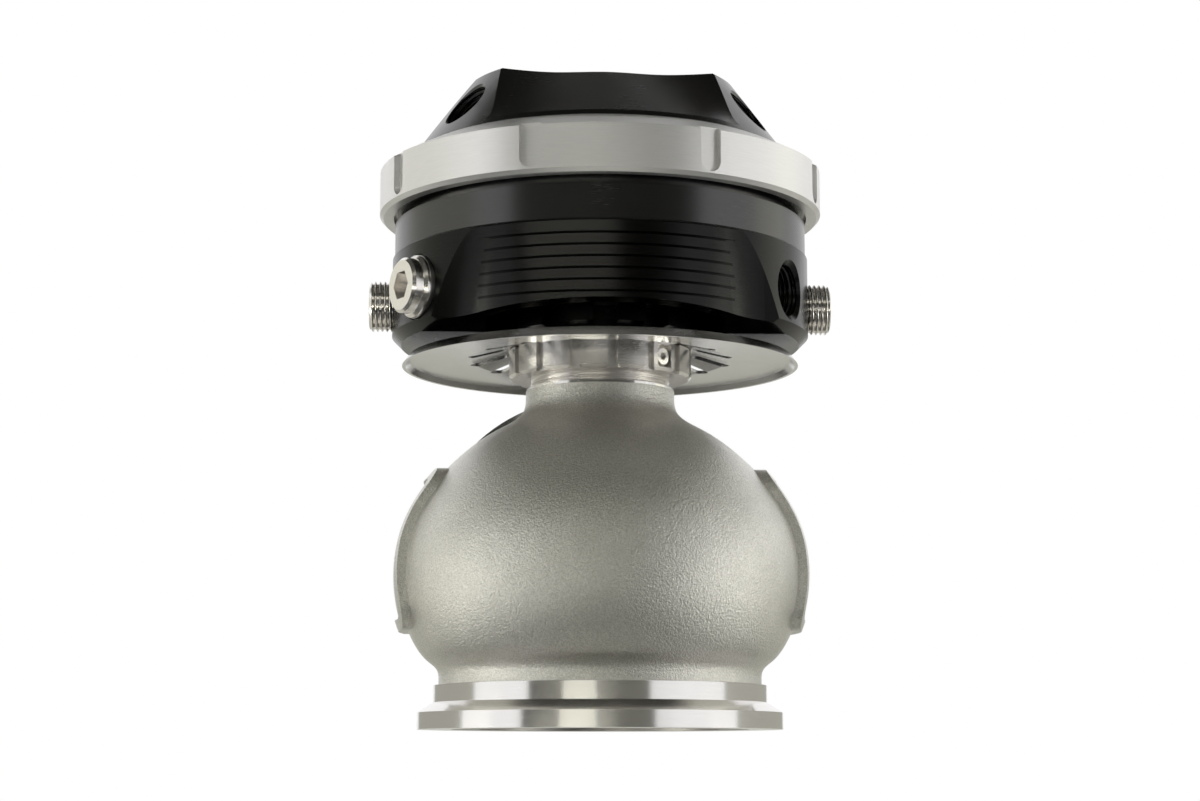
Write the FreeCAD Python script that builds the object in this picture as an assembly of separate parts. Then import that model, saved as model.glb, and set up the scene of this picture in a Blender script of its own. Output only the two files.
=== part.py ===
"""External turbo wastegate with V-band flanges, a spring and diaphragm actuator and a lock nut.

Units are millimetres. +Z is up, along the valve stem. The origin is the centre of the inlet
flange's sealing face. The outlet points along +Y, so the front of the actuator faces -Y.
Angles called clock are measured from the front (-Y) towards the right (+X).
"""
import FreeCAD
import Part
import math
import os

Vector = FreeCAD.Vector

# Fits and small clearances
RUNNING_CLEARANCE = 0.04
NECK_CLEARANCE = 0.06
THREAD_CLEARANCE = 0.05
SEAT_CLEARANCE = 0.12
BIG = 200.0

# V-band flanges, the same on the inlet and the outlet
FLANGE_R = 42.3
FLANGE_RIM = 3.8
FLANGE_CONE = 2.3
FLANGE_LAND_R = 38.65
FLANGE_LENGTH = 10.0

# Cast body
BODY_WALL = 4.2
BULB_BOTTOM_R = 37.4
BULB_START_Z = 12.0
BULB_MID_R = 47.2
BULB_MID_Z = 35.5
BULB_TOP_Z = 77.0
BULB_LOWER = ((39.8, 15.5), (43.9, 21.1), (46.4, 28.0))
BULB_UPPER = ((46.2, 43.6), (43.6, 50.0), (38.3, 57.6), (32.9, 63.1), (25.0, 68.9), (19.4, 72.3))
CAST_NECK_R = 17.5
MACHINED_NECK_Z = 79.3
NECK_R = 15.9
NECK_TOP_Z = 94.7
NECK_RELIEF_R = 10.5
CAVITY_ROOF_Z = 66.0
OUTLET_Z = 43.3
OUTLET_FACE_Y = 57.0
OUTLET_BORE_R = 31.0
OUTLET_PIPE_R = 37.4
OUTLET_ROOT_R = 33.0
OUTLET_ROOT_Y = 10.0
OUTLET_ROOT_Z = 37.0
OUTLET_SPHERE_Y = 33.0
GUIDE_BOSS_R = 13.0
GUIDE_BOSS_Z = 56.0

# Raised plain pads on both sides of the bulb
PAD_WIDTH = 31.0
PAD_BOTTOM_Z = 22.4
PAD_TOP_Z = 59.5
PAD_PROUD = 2.0
PAD_BORDER = 2.4
PAD_RECESS = 1.1
PAD_CORNER_R = 6.0

# Valve seat, valve and guide
SEAT_OUTER_R = 34.5
SEAT_BORE_R = 28.0
SEAT_HEIGHT = 7.0
SEAT_CONE_WIDTH = 3.0
BODY_THROAT_R = 32.6
VALVE_HEAD_R = 30.0
VALVE_FACE_R = 27.0
VALVE_MARGIN = 2.4
VALVE_BACK_HEIGHT = 18.0
STEM_R = 4.75
STEM_TIP_R = 4.0
GUIDE_OUTER_R = 8.5
GUIDE_BOTTOM_Z = 50.0
GUIDE_TOP_Z = 80.0

# Castellated lock nut with its pinch screw
NUT_R = 21.5
NUT_BOTTOM_Z = 81.6
NUT_TOP_Z = 88.35
NUT_SLOT_COUNT = 15
NUT_SLOT_WIDTH = 2.3
NUT_SLOT_DEPTH = 1.2
NUT_SLOT_FLARE = 0.6
NUT_SLOT_ANGLE = 5.6
NUT_CHAMFER = 0.6
PINCH_ANGLE = 41.6
PINCH_WIDTH = 4.3
PINCH_HEIGHT = 5.2
PINCH_DEPTH = 2.2
PINCH_HEAD_R = 1.9
PINCH_HEAD_LENGTH = 1.6
PINCH_SHANK_R = 1.2
PINCH_SHANK_LENGTH = 2.4
PINCH_SOCKET_R = 0.9

# Heat shield
SHIELD_R = 46.65
SHIELD_THICKNESS = 0.8
SHIELD_HUB_Z = 88.5
SHIELD_HUB_R = 21.8
SHIELD_DISH_R = 30.2
SHIELD_DISH_Z = 86.3
SHIELD_LIP_R = 44.8
SHIELD_LIP_Z = 85.8
SHIELD_RIM_Z = 84.6
SHIELD_BORE_CLEARANCE = 0.35
VENT_COUNT = 16
VENT_ANGLE = 9.3
VENT_WIDTH = 3.6
VENT_INNER_R = 24.0
VENT_OUTER_R = 29.6

# Lower housing
HOUSING_BOTTOM_Z = SHIELD_HUB_Z + SHIELD_THICKNESS
LOBE_R = 49.1
HOUSING_WALL = 7.6
LOBE_CHAMFER = 2.2
LOBE_TOP_Z = 109.6
RING_STEP = 0.5
COLLAR_THREAD_STEP = 1.0
COLLAR_THREAD_DEPTH = 0.9
RING_TOP_Z = 118.0
RELIEF_TOP_Z = 121.0
HOUSING_TOP_Z = 126.0
CAVITY_FLOOR_Z = 98.0
HUB_R = 26.0
LUG_R = 30.7
LUG_COUNT = 16
LUG_ANGLE = 12.0
LUG_POCKET_WALL = 7.3
LUG_POCKET_TOP_Z = 95.0
LUG_POCKET_HALF_WIDTH = 27.0
PANEL_TAPER = 4.1
PANEL_BOTTOM_Z = 91.9
PANEL_TOP_ANGLE = 37.3
PANEL_BOTTOM_ANGLE = 43.9
FACET_ANGLE = 18.4
FACET_BEND_ANGLE = 5.0
GROOVE_COUNT = 6
GROOVE_PITCH = 2.5
GROOVE_TOP_Z = 107.3
GROOVE_HEIGHT = 0.55
GROOVE_DEPTH = 0.7
GROOVE_HALF_ANGLE = 36.0
UNDERCUT_FRONT_Y = 46.0
UNDERCUT_FRONT_Z = 93.3
UNDERCUT_BACK_Y = 21.7
SPIGOT_SOCKET_TOP_Z = 95.0
BOSS_R = 13.0
BOSS_TOP_Z = 104.5

# Ports of the lower housing
PORT_Z = 99.0
PORT_R = 5.9
PORT_MOUTH_R = 7.0
PORT_ANGLE = 60.0
PLUG_HEAD_R = 6.3
PLUG_HEAD_LENGTH = 2.6
PLUG_FLANGE_R = 7.1
PLUG_FLANGE_LENGTH = 1.3
PLUG_SHANK_LENGTH = 6.0
PLUG_SOCKET_R = 3.5
PLUG_SOCKET_DEPTH = 3.2
WASHER_R = 7.2
WASHER_THICKNESS = 0.9
SPOTFACE_R = 7.6
FITTING_R = 6.0
FITTING_REACH = 5.3
FITTING_SHANK_R = 5.4
FITTING_SHANK_LENGTH = 5.0
FITTING_BORE_R = 3.3
FITTING_CHAMFER = 0.6

# Bush, seal and circlip in the housing boss
BUSH_R = 8.0
BUSH_BOTTOM_Z = 97.0
BUSH_LENGTH = 5.0
SEAL_HEIGHT = 1.4
SEAL_CLEARANCE = 0.1
CIRCLIP_HEIGHT = 0.7
CIRCLIP_GROOVE = 0.5
CIRCLIP_BORE_R = 6.6
CIRCLIP_GAP = 3.0
STEM_HOLE_R = 5.6

# Diaphragm stack on the stem
DIAPHRAGM_ROOM = 7.5
PISTON_BOTTOM_Z = 107.0
PISTON_THICKNESS = 4.0
PISTON_HUB_R = 9.0
DIAPHRAGM_THICKNESS = 1.5
DIAPHRAGM_BEAD = 2.0
DIAPHRAGM_LIP = 0.7
DIAPHRAGM_EDGE_STEP = 0.4
SPRING_PLATE_STEP = 1.0
SPRING_PLATE_THICKNESS = 3.0
SPRING_LOCATOR_HEIGHT = 2.0
SPRING_LOCATOR_R = 16.9
STEM_WASHER_R = 9.0
STEM_WASHER_THICKNESS = 1.6
STEM_NUT_ACROSS_FLATS = 13.0
STEM_NUT_HEIGHT = 5.5
STEM_TIP_PROUD = 1.5

# Springs
OUTER_SPRING_R = 19.4
OUTER_WIRE_R = 1.75
OUTER_TURN_COUNT = 3.0
INNER_SPRING_R = 13.4
INNER_WIRE_R = 1.4
INNER_TURN_COUNT = 3.5
SPRING_END_GAP = 0.1
COIL_STEP_COUNT = 20
WIRE_SIDE_COUNT = 8

# Locking collar
COLLAR_WALL = 4.2
COLLAR_BOTTOM_Z = 119.7
COLLAR_SHOULDER_Z = 130.5
COLLAR_TOP_Z = 134.4
COLLAR_MOUTH_Z = 121.2
COLLAR_BOTTOM_CHAMFER = 0.9
COLLAR_SLOT_COUNT = 8
COLLAR_SLOT_ANGLE = 25.4
COLLAR_SLOT_WIDTH = 5.0
COLLAR_SLOT_DEPTH = 1.5
COLLAR_SLOT_BOTTOM_Z = 121.0

# Top cap
CAP_FOOT_STEP = 2.9
CAP_FOOT_HEIGHT = 3.2
CAP_NECK_CLEARANCE = 0.3
CAP_TAPER = 12.2
CAP_CONE_Z = 134.6
CAP_TOP_Z = 151.4
CAP_TOP_CHAMFER = 0.4
CAP_ANGLE = 2.7
CAP_SCOOP_COUNT = 3
CAP_SCOOP_HALF_ANGLE = 51.0
CAP_SCOOP_FOOT_ANGLE = 42.0
CAP_SCOOP_FOOT_Z = 135.8
CAP_SCOOP_WAVE = 2.4
CAP_SCOOP_BELLY = 1.0
CAP_PORT_R = 5.9
CAP_PORT_MOUTH_R = 6.5
CAP_PORT_DROP = 8.4
CAP_RIM_STEP = 3.0
CAP_CAVITY_SHOULDER_Z = 134.0
CAP_ROOF = 4.9
CAP_CAVITY_TAPER = 15.7

RING_R = LOBE_R - RING_STEP
CAVITY_R = LOBE_R - HOUSING_WALL
LUG_POCKET_R = LOBE_R - LUG_POCKET_WALL
PANEL_TOP_R = RING_R
PANEL_BOTTOM_R = LOBE_R - PANEL_TAPER
FITTING_END_R = LOBE_R + FITTING_REACH
COLLAR_THREAD_R = LOBE_R - COLLAR_THREAD_STEP
RELIEF_R = COLLAR_THREAD_R - COLLAR_THREAD_DEPTH
COLLAR_MOUTH_R = COLLAR_THREAD_R + COLLAR_THREAD_DEPTH
COLLAR_R = COLLAR_THREAD_R + COLLAR_WALL
CAP_FOOT_R = COLLAR_THREAD_R - COLLAR_THREAD_DEPTH
CAP_NECK_R = CAP_FOOT_R - CAP_FOOT_STEP
CAP_TOP_R = CAP_NECK_R - CAP_TAPER
COLLAR_TOP_R = CAP_NECK_R + CAP_NECK_CLEARANCE
CAP_CAVITY_R = CAVITY_R - CAP_RIM_STEP
CAP_CAVITY_TOP_R = CAP_CAVITY_R - CAP_CAVITY_TAPER
CAP_CAVITY_TOP_Z = CAP_TOP_Z - CAP_ROOF
CAP_PORT_Z = CAP_TOP_Z - CAP_PORT_DROP
PISTON_R = CAVITY_R - DIAPHRAGM_ROOM
DIAPHRAGM_OUTER_R = CAP_FOOT_R - DIAPHRAGM_EDGE_STEP
DIAPHRAGM_SLOPE_R = CAP_CAVITY_R + DIAPHRAGM_LIP
PISTON_TOP_Z = PISTON_BOTTOM_Z + PISTON_THICKNESS
PLATE_BOTTOM_Z = PISTON_TOP_Z + DIAPHRAGM_THICKNESS
PLATE_TOP_Z = PLATE_BOTTOM_Z + SPRING_PLATE_THICKNESS
CAP_BOTTOM_Z = HOUSING_TOP_Z + DIAPHRAGM_BEAD
CAP_FOOT_TOP_Z = CAP_BOTTOM_Z + CAP_FOOT_HEIGHT
STEM_TOP_Z = PLATE_TOP_Z + STEM_WASHER_THICKNESS + STEM_NUT_HEIGHT + STEM_TIP_PROUD


def turned(points):
    """Revolve a closed outline of (radius, height) points about the Z axis."""
    corners = [Vector(radius, 0, height) for radius, height in points]
    face = Part.Face(Part.makePolygon(corners + corners[:1]))
    return face.revolve(Vector(0, 0, 0), Vector(0, 0, 1), 360)


def tube(outer_r, inner_r, bottom_z, top_z):
    """A plain ring between two heights."""
    return turned([(inner_r, bottom_z), (outer_r, bottom_z), (outer_r, top_z), (inner_r, top_z)])


def rod(radius, bottom_z, top_z):
    """A plain cylinder on the Z axis."""
    return Part.makeCylinder(radius, top_z - bottom_z, Vector(0, 0, bottom_z))


def clocked(shape, angle):
    """A copy of a shape modelled at the front, turned to its clock angle."""
    copy = shape.copy()
    copy.rotate(Vector(0, 0, 0), Vector(0, 0, 1), angle)
    return copy


def around(shape, count, first=0.0):
    """Copies of a shape, evenly spaced about the Z axis."""
    return [clocked(shape, first + step * 360.0 / count) for step in range(count)]


def plan_point(radius, angle, height):
    """A point at a clock angle."""
    turn = math.radians(angle)
    return Vector(radius * math.sin(turn), -radius * math.cos(turn), height)


def rounded_prism(width, bottom_z, top_z, corner_r, inner_x, outer_x):
    """A prism along X whose Y-Z outline is a rounded rectangle."""
    box = Part.makeBox(outer_x - inner_x, width, top_z - bottom_z,
                       Vector(inner_x, -width / 2, bottom_z))
    corners = [edge for edge in box.Edges if abs(edge.tangentAt(edge.FirstParameter).x) > 0.99]
    return box.makeFillet(corner_r, corners)


def hexagon_prism(across_flats, bottom, height):
    """A hexagonal prism that stands on the Z axis."""
    corner_r = across_flats / math.sqrt(3)
    corners = [Vector(corner_r * math.cos(math.radians(60 * side)),
                      corner_r * math.sin(math.radians(60 * side)), bottom) for side in range(7)]
    return Part.Face(Part.makePolygon(corners)).extrude(Vector(0, 0, height))


def radial(shape, clock, height):
    """Lay a shape that was built up along Z so that its Z points outwards at a clock angle."""
    copy = shape.copy()
    copy.rotate(Vector(0, 0, 0), Vector(1, 0, 0), 90)
    copy.rotate(Vector(0, 0, 0), Vector(0, 0, 1), clock)
    copy.translate(Vector(0, 0, height))
    return copy


def bulb_points():
    """The cast outline, from the inlet flange up to the neck, as (radius, height)."""
    bottom = (BULB_BOTTOM_R, BULB_START_Z)
    middle = (BULB_MID_R, BULB_MID_Z)
    top = (CAST_NECK_R, BULB_TOP_Z)
    return [bottom] + list(BULB_LOWER) + [middle] + list(BULB_UPPER) + [top]


def bulb_curve(offset, points):
    """A smooth curve through the outline, moved along its normals by offset."""
    through = [Vector(radius, 0, height) for radius, height in points]
    curve = Part.BSplineCurve()
    curve.interpolate(Points=through, InitialTangent=Vector(0, 0, 1), FinalTangent=Vector(0, 0, 1))
    if offset == 0:
        return curve
    moved = []
    for point in through:
        tangent = curve.tangent(curve.parameter(point))[0]
        normal = Vector(tangent.z, 0, -tangent.x)
        moved.append(point + normal * offset)
    shifted = Part.BSplineCurve()
    shifted.interpolate(Points=moved)
    return shifted


def turned_curve(curve, top_r, bottom_r):
    """The solid under a curve that runs upwards, closed to the axis at both ends."""
    start = curve.StartPoint
    end = curve.EndPoint
    corners = [end, Vector(top_r, 0, end.z), Vector(0, 0, end.z), Vector(0, 0, start.z),
               Vector(bottom_r, 0, start.z), start]
    edges = [curve.toShape()]
    for first, second in zip(corners, corners[1:]):
        if (first - second).Length > 0.001:
            edges.append(Part.makeLine(first, second))
    return Part.Face(Part.Wire(edges)).revolve(Vector(0, 0, 0), Vector(0, 0, 1), 360)


def flange():
    """A V-band flange that stands on z = 0."""
    cone_top = FLANGE_RIM + FLANGE_CONE
    return turned([(0, 0), (FLANGE_R, 0), (FLANGE_R, FLANGE_RIM), (FLANGE_LAND_R, cone_top),
                   (FLANGE_LAND_R, FLANGE_LENGTH), (0, FLANGE_LENGTH)])


def along_outlet(shape):
    """Move a shape that stands on z = 0 to the outlet face, pointing back towards the bulb."""
    copy = shape.copy()
    copy.rotate(Vector(0, 0, 0), Vector(1, 0, 0), 90)
    copy.translate(Vector(0, OUTLET_FACE_Y, OUTLET_Z))
    return copy


def outlet_pipe():
    """The pipe that grows out of the bulb towards the outlet flange."""
    end_y = OUTLET_FACE_Y - FLANGE_LENGTH + 1
    root = Part.makeCircle(OUTLET_ROOT_R, Vector(0, OUTLET_ROOT_Y, OUTLET_ROOT_Z), Vector(0, 1, 0))
    end = Part.makeCircle(OUTLET_PIPE_R, Vector(0, end_y, OUTLET_Z), Vector(0, 1, 0))
    return Part.makeLoft([Part.Wire(root), Part.Wire(end)], True, True)


def side_pads(offset_curve):
    """The two raised pads, each with a plain recessed field inside a border."""
    skin = turned_curve(offset_curve, 0, 0)
    window = rounded_prism(PAD_WIDTH, PAD_BOTTOM_Z, PAD_TOP_Z, PAD_CORNER_R,
                           BULB_MID_R / 2, BULB_MID_R + BULB_MID_R / 2)
    pad = skin.common(window)
    return [clocked(pad, 0), clocked(pad, 180)]


def pad_fields(points):
    """Cutters that sink the field of each pad."""
    outer = turned_curve(bulb_curve(PAD_PROUD + 1.0, points), 0, 0)
    inner = turned_curve(bulb_curve(PAD_PROUD - PAD_RECESS, points), 0, 0)
    window = rounded_prism(PAD_WIDTH - 2 * PAD_BORDER, PAD_BOTTOM_Z + PAD_BORDER,
                           PAD_TOP_Z - PAD_BORDER, PAD_CORNER_R - PAD_BORDER,
                           BULB_MID_R / 2, BULB_MID_R + BULB_MID_R / 2)
    field = outer.cut(inner).common(window)
    return [clocked(field, 0), clocked(field, 180)]


def body_cavity(points):
    """The gas space: throat, bulb and outlet passage, less the boss that carries the guide."""
    roof = [point for point in points if point[1] < CAVITY_ROOF_Z]
    inner = bulb_curve(-BODY_WALL, roof)
    bulb = turned_curve(inner, 0, BODY_THROAT_R)
    throat = rod(BODY_THROAT_R, SEAT_HEIGHT, inner.StartPoint.z + 1)
    bullet = Part.makeCylinder(OUTLET_BORE_R, BIG, Vector(0, OUTLET_SPHERE_Y, OUTLET_Z),
                               Vector(0, 1, 0))
    nose = Part.makeSphere(OUTLET_BORE_R, Vector(0, OUTLET_SPHERE_Y, OUTLET_Z))
    space = bulb.fuse([throat, bullet, nose])
    return space.cut(rod(GUIDE_BOSS_R, GUIDE_BOSS_Z, BIG))


def body_casting():
    """Cast bulb with both flanges, the pads and the threaded neck."""
    points = bulb_points()
    bulb = turned_curve(bulb_curve(0, points), 0, 0)
    foot = rod(BULB_BOTTOM_R, FLANGE_LENGTH - 1, BULB_START_Z)
    cast_neck = rod(CAST_NECK_R, BULB_TOP_Z, MACHINED_NECK_Z)
    neck = rod(NECK_R, BULB_TOP_Z, NECK_TOP_Z)
    outer = bulb.fuse([foot, cast_neck, neck, outlet_pipe(), flange(), along_outlet(flange())])
    outer = outer.fuse(side_pads(bulb_curve(PAD_PROUD, points)))
    outer = outer.cut(pad_fields(points))
    seat_pocket = rod(SEAT_OUTER_R, -1, SEAT_HEIGHT)
    guide_hole = rod(GUIDE_OUTER_R, GUIDE_BOSS_Z - 1, GUIDE_TOP_Z)
    relief = rod(NECK_RELIEF_R, GUIDE_TOP_Z, NECK_TOP_Z + 1)
    casting = outer.cut([body_cavity(points), seat_pocket, guide_hole, relief])
    return casting.removeSplitter()


def valve_seat():
    """Seat ring with its 45 degree cone."""
    cone_z = SEAT_HEIGHT - SEAT_CONE_WIDTH
    return turned([(SEAT_BORE_R, 0), (SEAT_OUTER_R, 0), (SEAT_OUTER_R, SEAT_HEIGHT),
                   (SEAT_BORE_R + SEAT_CONE_WIDTH, SEAT_HEIGHT), (SEAT_BORE_R, cone_z)])


def valve():
    """Valve head, tulip back and stepped stem."""
    cone_rise = SEAT_HEIGHT - SEAT_CONE_WIDTH - SEAT_BORE_R + SEAT_CLEARANCE * math.sqrt(2)
    face_z = VALVE_FACE_R + cone_rise
    rim_z = VALVE_HEAD_R + cone_rise
    margin_z = rim_z + VALVE_MARGIN
    neck_z = margin_z + VALVE_BACK_HEIGHT
    outline = [Vector(0, 0, face_z), Vector(VALVE_FACE_R, 0, face_z),
               Vector(VALVE_HEAD_R, 0, rim_z), Vector(VALVE_HEAD_R, 0, margin_z)]
    tulip = Part.BezierCurve()
    tulip.setPoles([outline[-1], Vector(STEM_R * 2, 0, margin_z + VALVE_MARGIN / 2),
                    Vector(STEM_R, 0, margin_z + VALVE_BACK_HEIGHT / 3), Vector(STEM_R, 0, neck_z)])
    stem = [Vector(STEM_R, 0, neck_z), Vector(STEM_R, 0, PISTON_BOTTOM_Z),
            Vector(STEM_TIP_R, 0, PISTON_BOTTOM_Z), Vector(STEM_TIP_R, 0, STEM_TOP_Z),
            Vector(0, 0, STEM_TOP_Z), Vector(0, 0, face_z)]
    edges = [Part.makeLine(a, b) for a, b in zip(outline, outline[1:])]
    edges.append(tulip.toShape())
    edges += [Part.makeLine(a, b) for a, b in zip(stem, stem[1:])]
    return Part.Face(Part.Wire(edges)).revolve(Vector(0, 0, 0), Vector(0, 0, 1), 360)


def valve_guide():
    """Plain bush in the neck."""
    return tube(GUIDE_OUTER_R, STEM_R + RUNNING_CLEARANCE, GUIDE_BOTTOM_Z, GUIDE_TOP_Z)


def lock_nut():
    """Castellated nut with a pocket for its pinch screw."""
    bore_r = NECK_R + THREAD_CLEARANCE
    blank = turned([(bore_r, NUT_BOTTOM_Z), (NUT_R - NUT_CHAMFER, NUT_BOTTOM_Z),
                    (NUT_R, NUT_BOTTOM_Z + NUT_CHAMFER), (NUT_R, NUT_TOP_Z), (bore_r, NUT_TOP_Z)])
    slot = Part.makeBox(NUT_SLOT_WIDTH, NUT_SLOT_DEPTH * 2, BIG,
                        Vector(-NUT_SLOT_WIDTH / 2, -NUT_R - NUT_SLOT_DEPTH, 0))
    flare_z = NUT_BOTTOM_Z + NUT_SLOT_FLARE
    half_mouth = NUT_SLOT_WIDTH / 2 + NUT_SLOT_FLARE
    mouth = [Vector(-half_mouth, 0, NUT_BOTTOM_Z), Vector(half_mouth, 0, NUT_BOTTOM_Z),
             Vector(0, 0, flare_z + NUT_SLOT_WIDTH / 2)]
    flare = Part.Face(Part.makePolygon(mouth + mouth[:1])).extrude(Vector(0, NUT_SLOT_DEPTH * 2, 0))
    flare.translate(Vector(0, -NUT_R - NUT_SLOT_DEPTH, 0))
    slot = slot.fuse(flare)
    middle_z = (NUT_BOTTOM_Z + NUT_TOP_Z) / 2
    pocket = Part.makeBox(PINCH_WIDTH, PINCH_DEPTH * 2, PINCH_HEIGHT,
                          Vector(-PINCH_WIDTH / 2, -NUT_R - PINCH_DEPTH,
                                 middle_z - PINCH_HEIGHT / 2))
    tapped = radial(rod(PINCH_SHANK_R, NUT_R - PINCH_DEPTH - PINCH_SHANK_LENGTH, NUT_R),
                    0, middle_z)
    cutters = around(slot, NUT_SLOT_COUNT, NUT_SLOT_ANGLE)
    cutters += [clocked(pocket, PINCH_ANGLE), clocked(tapped, PINCH_ANGLE)]
    return blank.cut(cutters)


def lock_nut_screw():
    """Small socket screw seated in the nut's pocket."""
    seat_r = NUT_R - PINCH_DEPTH
    shank = rod(PINCH_SHANK_R, seat_r - PINCH_SHANK_LENGTH, seat_r)
    head = rod(PINCH_HEAD_R, seat_r, seat_r + PINCH_HEAD_LENGTH)
    socket = hexagon_prism(PINCH_SOCKET_R * math.sqrt(3), seat_r + PINCH_HEAD_LENGTH / 2, BIG)
    screw = shank.fuse(head).cut(socket)
    return radial(screw, PINCH_ANGLE, (NUT_BOTTOM_Z + NUT_TOP_Z) / 2)


def heat_shield():
    """Dished sheet disc with a turned-down lip and radial vents."""
    bore_r = NECK_R + SHIELD_BORE_CLEARANCE
    under = [(bore_r, SHIELD_HUB_Z), (SHIELD_HUB_R, SHIELD_HUB_Z),
             (SHIELD_DISH_R, SHIELD_DISH_Z), (SHIELD_LIP_R, SHIELD_LIP_Z),
             (SHIELD_R - SHIELD_THICKNESS, SHIELD_RIM_Z)]
    lift = SHIELD_THICKNESS
    over = [(SHIELD_R, SHIELD_RIM_Z), (SHIELD_LIP_R + lift / 2, SHIELD_LIP_Z + lift),
            (SHIELD_DISH_R, SHIELD_DISH_Z + lift), (SHIELD_HUB_R, SHIELD_HUB_Z + lift),
            (bore_r, SHIELD_HUB_Z + lift)]
    disc = turned(under + over)
    height = SHIELD_HUB_Z - SHIELD_RIM_Z + 2 * lift
    slot = Part.makeBox(VENT_WIDTH, VENT_OUTER_R - VENT_INNER_R, height,
                        Vector(-VENT_WIDTH / 2, -VENT_OUTER_R, SHIELD_RIM_Z))
    ends = [Part.makeCylinder(VENT_WIDTH / 2, height, Vector(0, -radius, SHIELD_RIM_Z))
            for radius in (VENT_INNER_R, VENT_OUTER_R)]
    vent = slot.fuse(ends)
    return disc.cut(around(vent, VENT_COUNT, VENT_ANGLE))


def panel_radius(height):
    """Radius of the tapered front panel at a height."""
    share = (height - PANEL_BOTTOM_Z) / (LOBE_TOP_Z - PANEL_BOTTOM_Z)
    return PANEL_BOTTOM_R + share * (PANEL_TOP_R - PANEL_BOTTOM_R)


def facet_bend(height):
    """The hollow arc that eases the panel into its right facet: its three points in plan."""
    radius = panel_radius(height)
    share = (height - PANEL_BOTTOM_Z) / (LOBE_TOP_Z - PANEL_BOTTOM_Z)
    corner_angle = PANEL_BOTTOM_ANGLE + share * (PANEL_TOP_ANGLE - PANEL_BOTTOM_ANGLE)
    start_angle = corner_angle - FACET_BEND_ANGLE
    half_bend = math.radians(start_angle - FACET_ANGLE) / 2
    start = plan_point(radius, start_angle, height)
    tangent = plan_point(1, start_angle + 90, 0)
    outwards = plan_point(1, FACET_ANGLE + 90, 0)
    chord = plan_point(radius, corner_angle, height) - start
    length = chord.cross(outwards).z / tangent.cross(outwards).z
    knee = start + tangent * length
    end = knee + outwards * length
    inwards = start + end - knee * 2
    bend_r = length / math.tan(half_bend)
    middle = knee + inwards.normalize() * (bend_r / math.cos(half_bend) - bend_r)
    return start, middle, end


def panel_wire(height):
    """Plan outline of what the front cut removes at a height: arc, bends, facets, far box."""
    right = facet_bend(height)
    left = [Vector(-point.x, point.y, height) for point in right]
    front = plan_point(panel_radius(height), 0, height)
    far_right = right[2] + plan_point(LOBE_R, FACET_ANGLE + 90, 0)
    far_left = Vector(-far_right.x, far_right.y, height)
    corners = [right[2], far_right, Vector(far_right.x, -BIG, height),
               Vector(far_left.x, -BIG, height), far_left, left[2]]
    edges = [Part.Arc(left[2], left[1], left[0]).toShape(),
             Part.Arc(left[0], front, right[0]).toShape(),
             Part.Arc(right[0], right[1], right[2]).toShape()]
    edges += [Part.makeLine(a, b) for a, b in zip(corners, corners[1:])]
    return Part.Wire(edges)


def panel_cut():
    """The front cut between the lobes, tapered inwards towards the bottom."""
    bottom_z = HOUSING_BOTTOM_Z - 1
    return Part.makeLoft([panel_wire(bottom_z), panel_wire(LOBE_TOP_Z)], True, True)


def groove_cuts():
    """Thin horizontal grooves, cut on a flatter arc than the panel so that their ends fade out."""
    cuts = []
    half_span = math.radians(GROOVE_HALF_ANGLE)
    for step in range(GROOVE_COUNT):
        top_z = GROOVE_TOP_Z - step * GROOVE_PITCH
        surface_r = panel_radius(top_z)
        floor_y = surface_r - GROOVE_DEPTH
        end_x = surface_r * math.sin(half_span)
        end_y = surface_r * math.cos(half_span)
        sag = floor_y - end_y
        floor_r = (end_x * end_x + sag * sag) / (2 * sag)
        ring = tube(floor_r + LOBE_R, floor_r, top_z - GROOVE_HEIGHT, top_z)
        ring.translate(Vector(0, floor_r - floor_y, 0))
        front = Part.makeBox(2 * end_x, LOBE_R, LOBE_TOP_Z, Vector(-end_x, -end_y - LOBE_R, 0))
        cuts.append(ring.common(front))
    return cuts


def undercut():
    """The sloping cut under the front of the lobes."""
    corners = [Vector(-BIG, -UNDERCUT_BACK_Y, HOUSING_BOTTOM_Z),
               Vector(-BIG, -UNDERCUT_FRONT_Y, UNDERCUT_FRONT_Z),
               Vector(-BIG, -BIG, UNDERCUT_FRONT_Z), Vector(-BIG, -BIG, HOUSING_BOTTOM_Z - 1),
               Vector(-BIG, -UNDERCUT_BACK_Y, HOUSING_BOTTOM_Z - 1)]
    wedge = Part.Face(Part.makePolygon(corners + corners[:1])).extrude(Vector(2 * BIG, 0, 0))
    core = rod(HUB_R + 1, 0, BIG)
    return wedge.cut(core)


def lug_pocket():
    """The open pocket at the front in which the cooling lugs stand."""
    ring = tube(LUG_POCKET_R, HUB_R, HOUSING_BOTTOM_Z - 1, LUG_POCKET_TOP_Z)
    front = Part.makeBox(2 * LUG_POCKET_HALF_WIDTH, BIG, BIG,
                         Vector(-LUG_POCKET_HALF_WIDTH, -BIG, 0))
    corners = [Vector(0, 0, 0), plan_point(BIG, -LUG_ANGLE / 2, 0),
               plan_point(BIG, LUG_ANGLE / 2, 0)]
    wedge = Part.Face(Part.makePolygon(corners + corners[:1])).extrude(Vector(0, 0, BIG))
    lug = wedge.common(rod(LUG_R, HOUSING_BOTTOM_Z, LUG_POCKET_TOP_Z + 1))
    half_pitch = 180.0 / LUG_COUNT
    return ring.common(front).cut(around(lug, LUG_COUNT, half_pitch))


def port_cut(clock):
    """A threaded port bored through the wall, with a chamfered mouth."""
    bore = rod(PORT_R, CAVITY_R - 1, LOBE_R + 1)
    mouth = Part.makeCone(PORT_R, PORT_MOUTH_R + 1, PORT_MOUTH_R + 1 - PORT_R,
                          Vector(0, 0, LOBE_R - (PORT_MOUTH_R - PORT_R)))
    return radial(bore.fuse(mouth), clock, PORT_Z)


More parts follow.
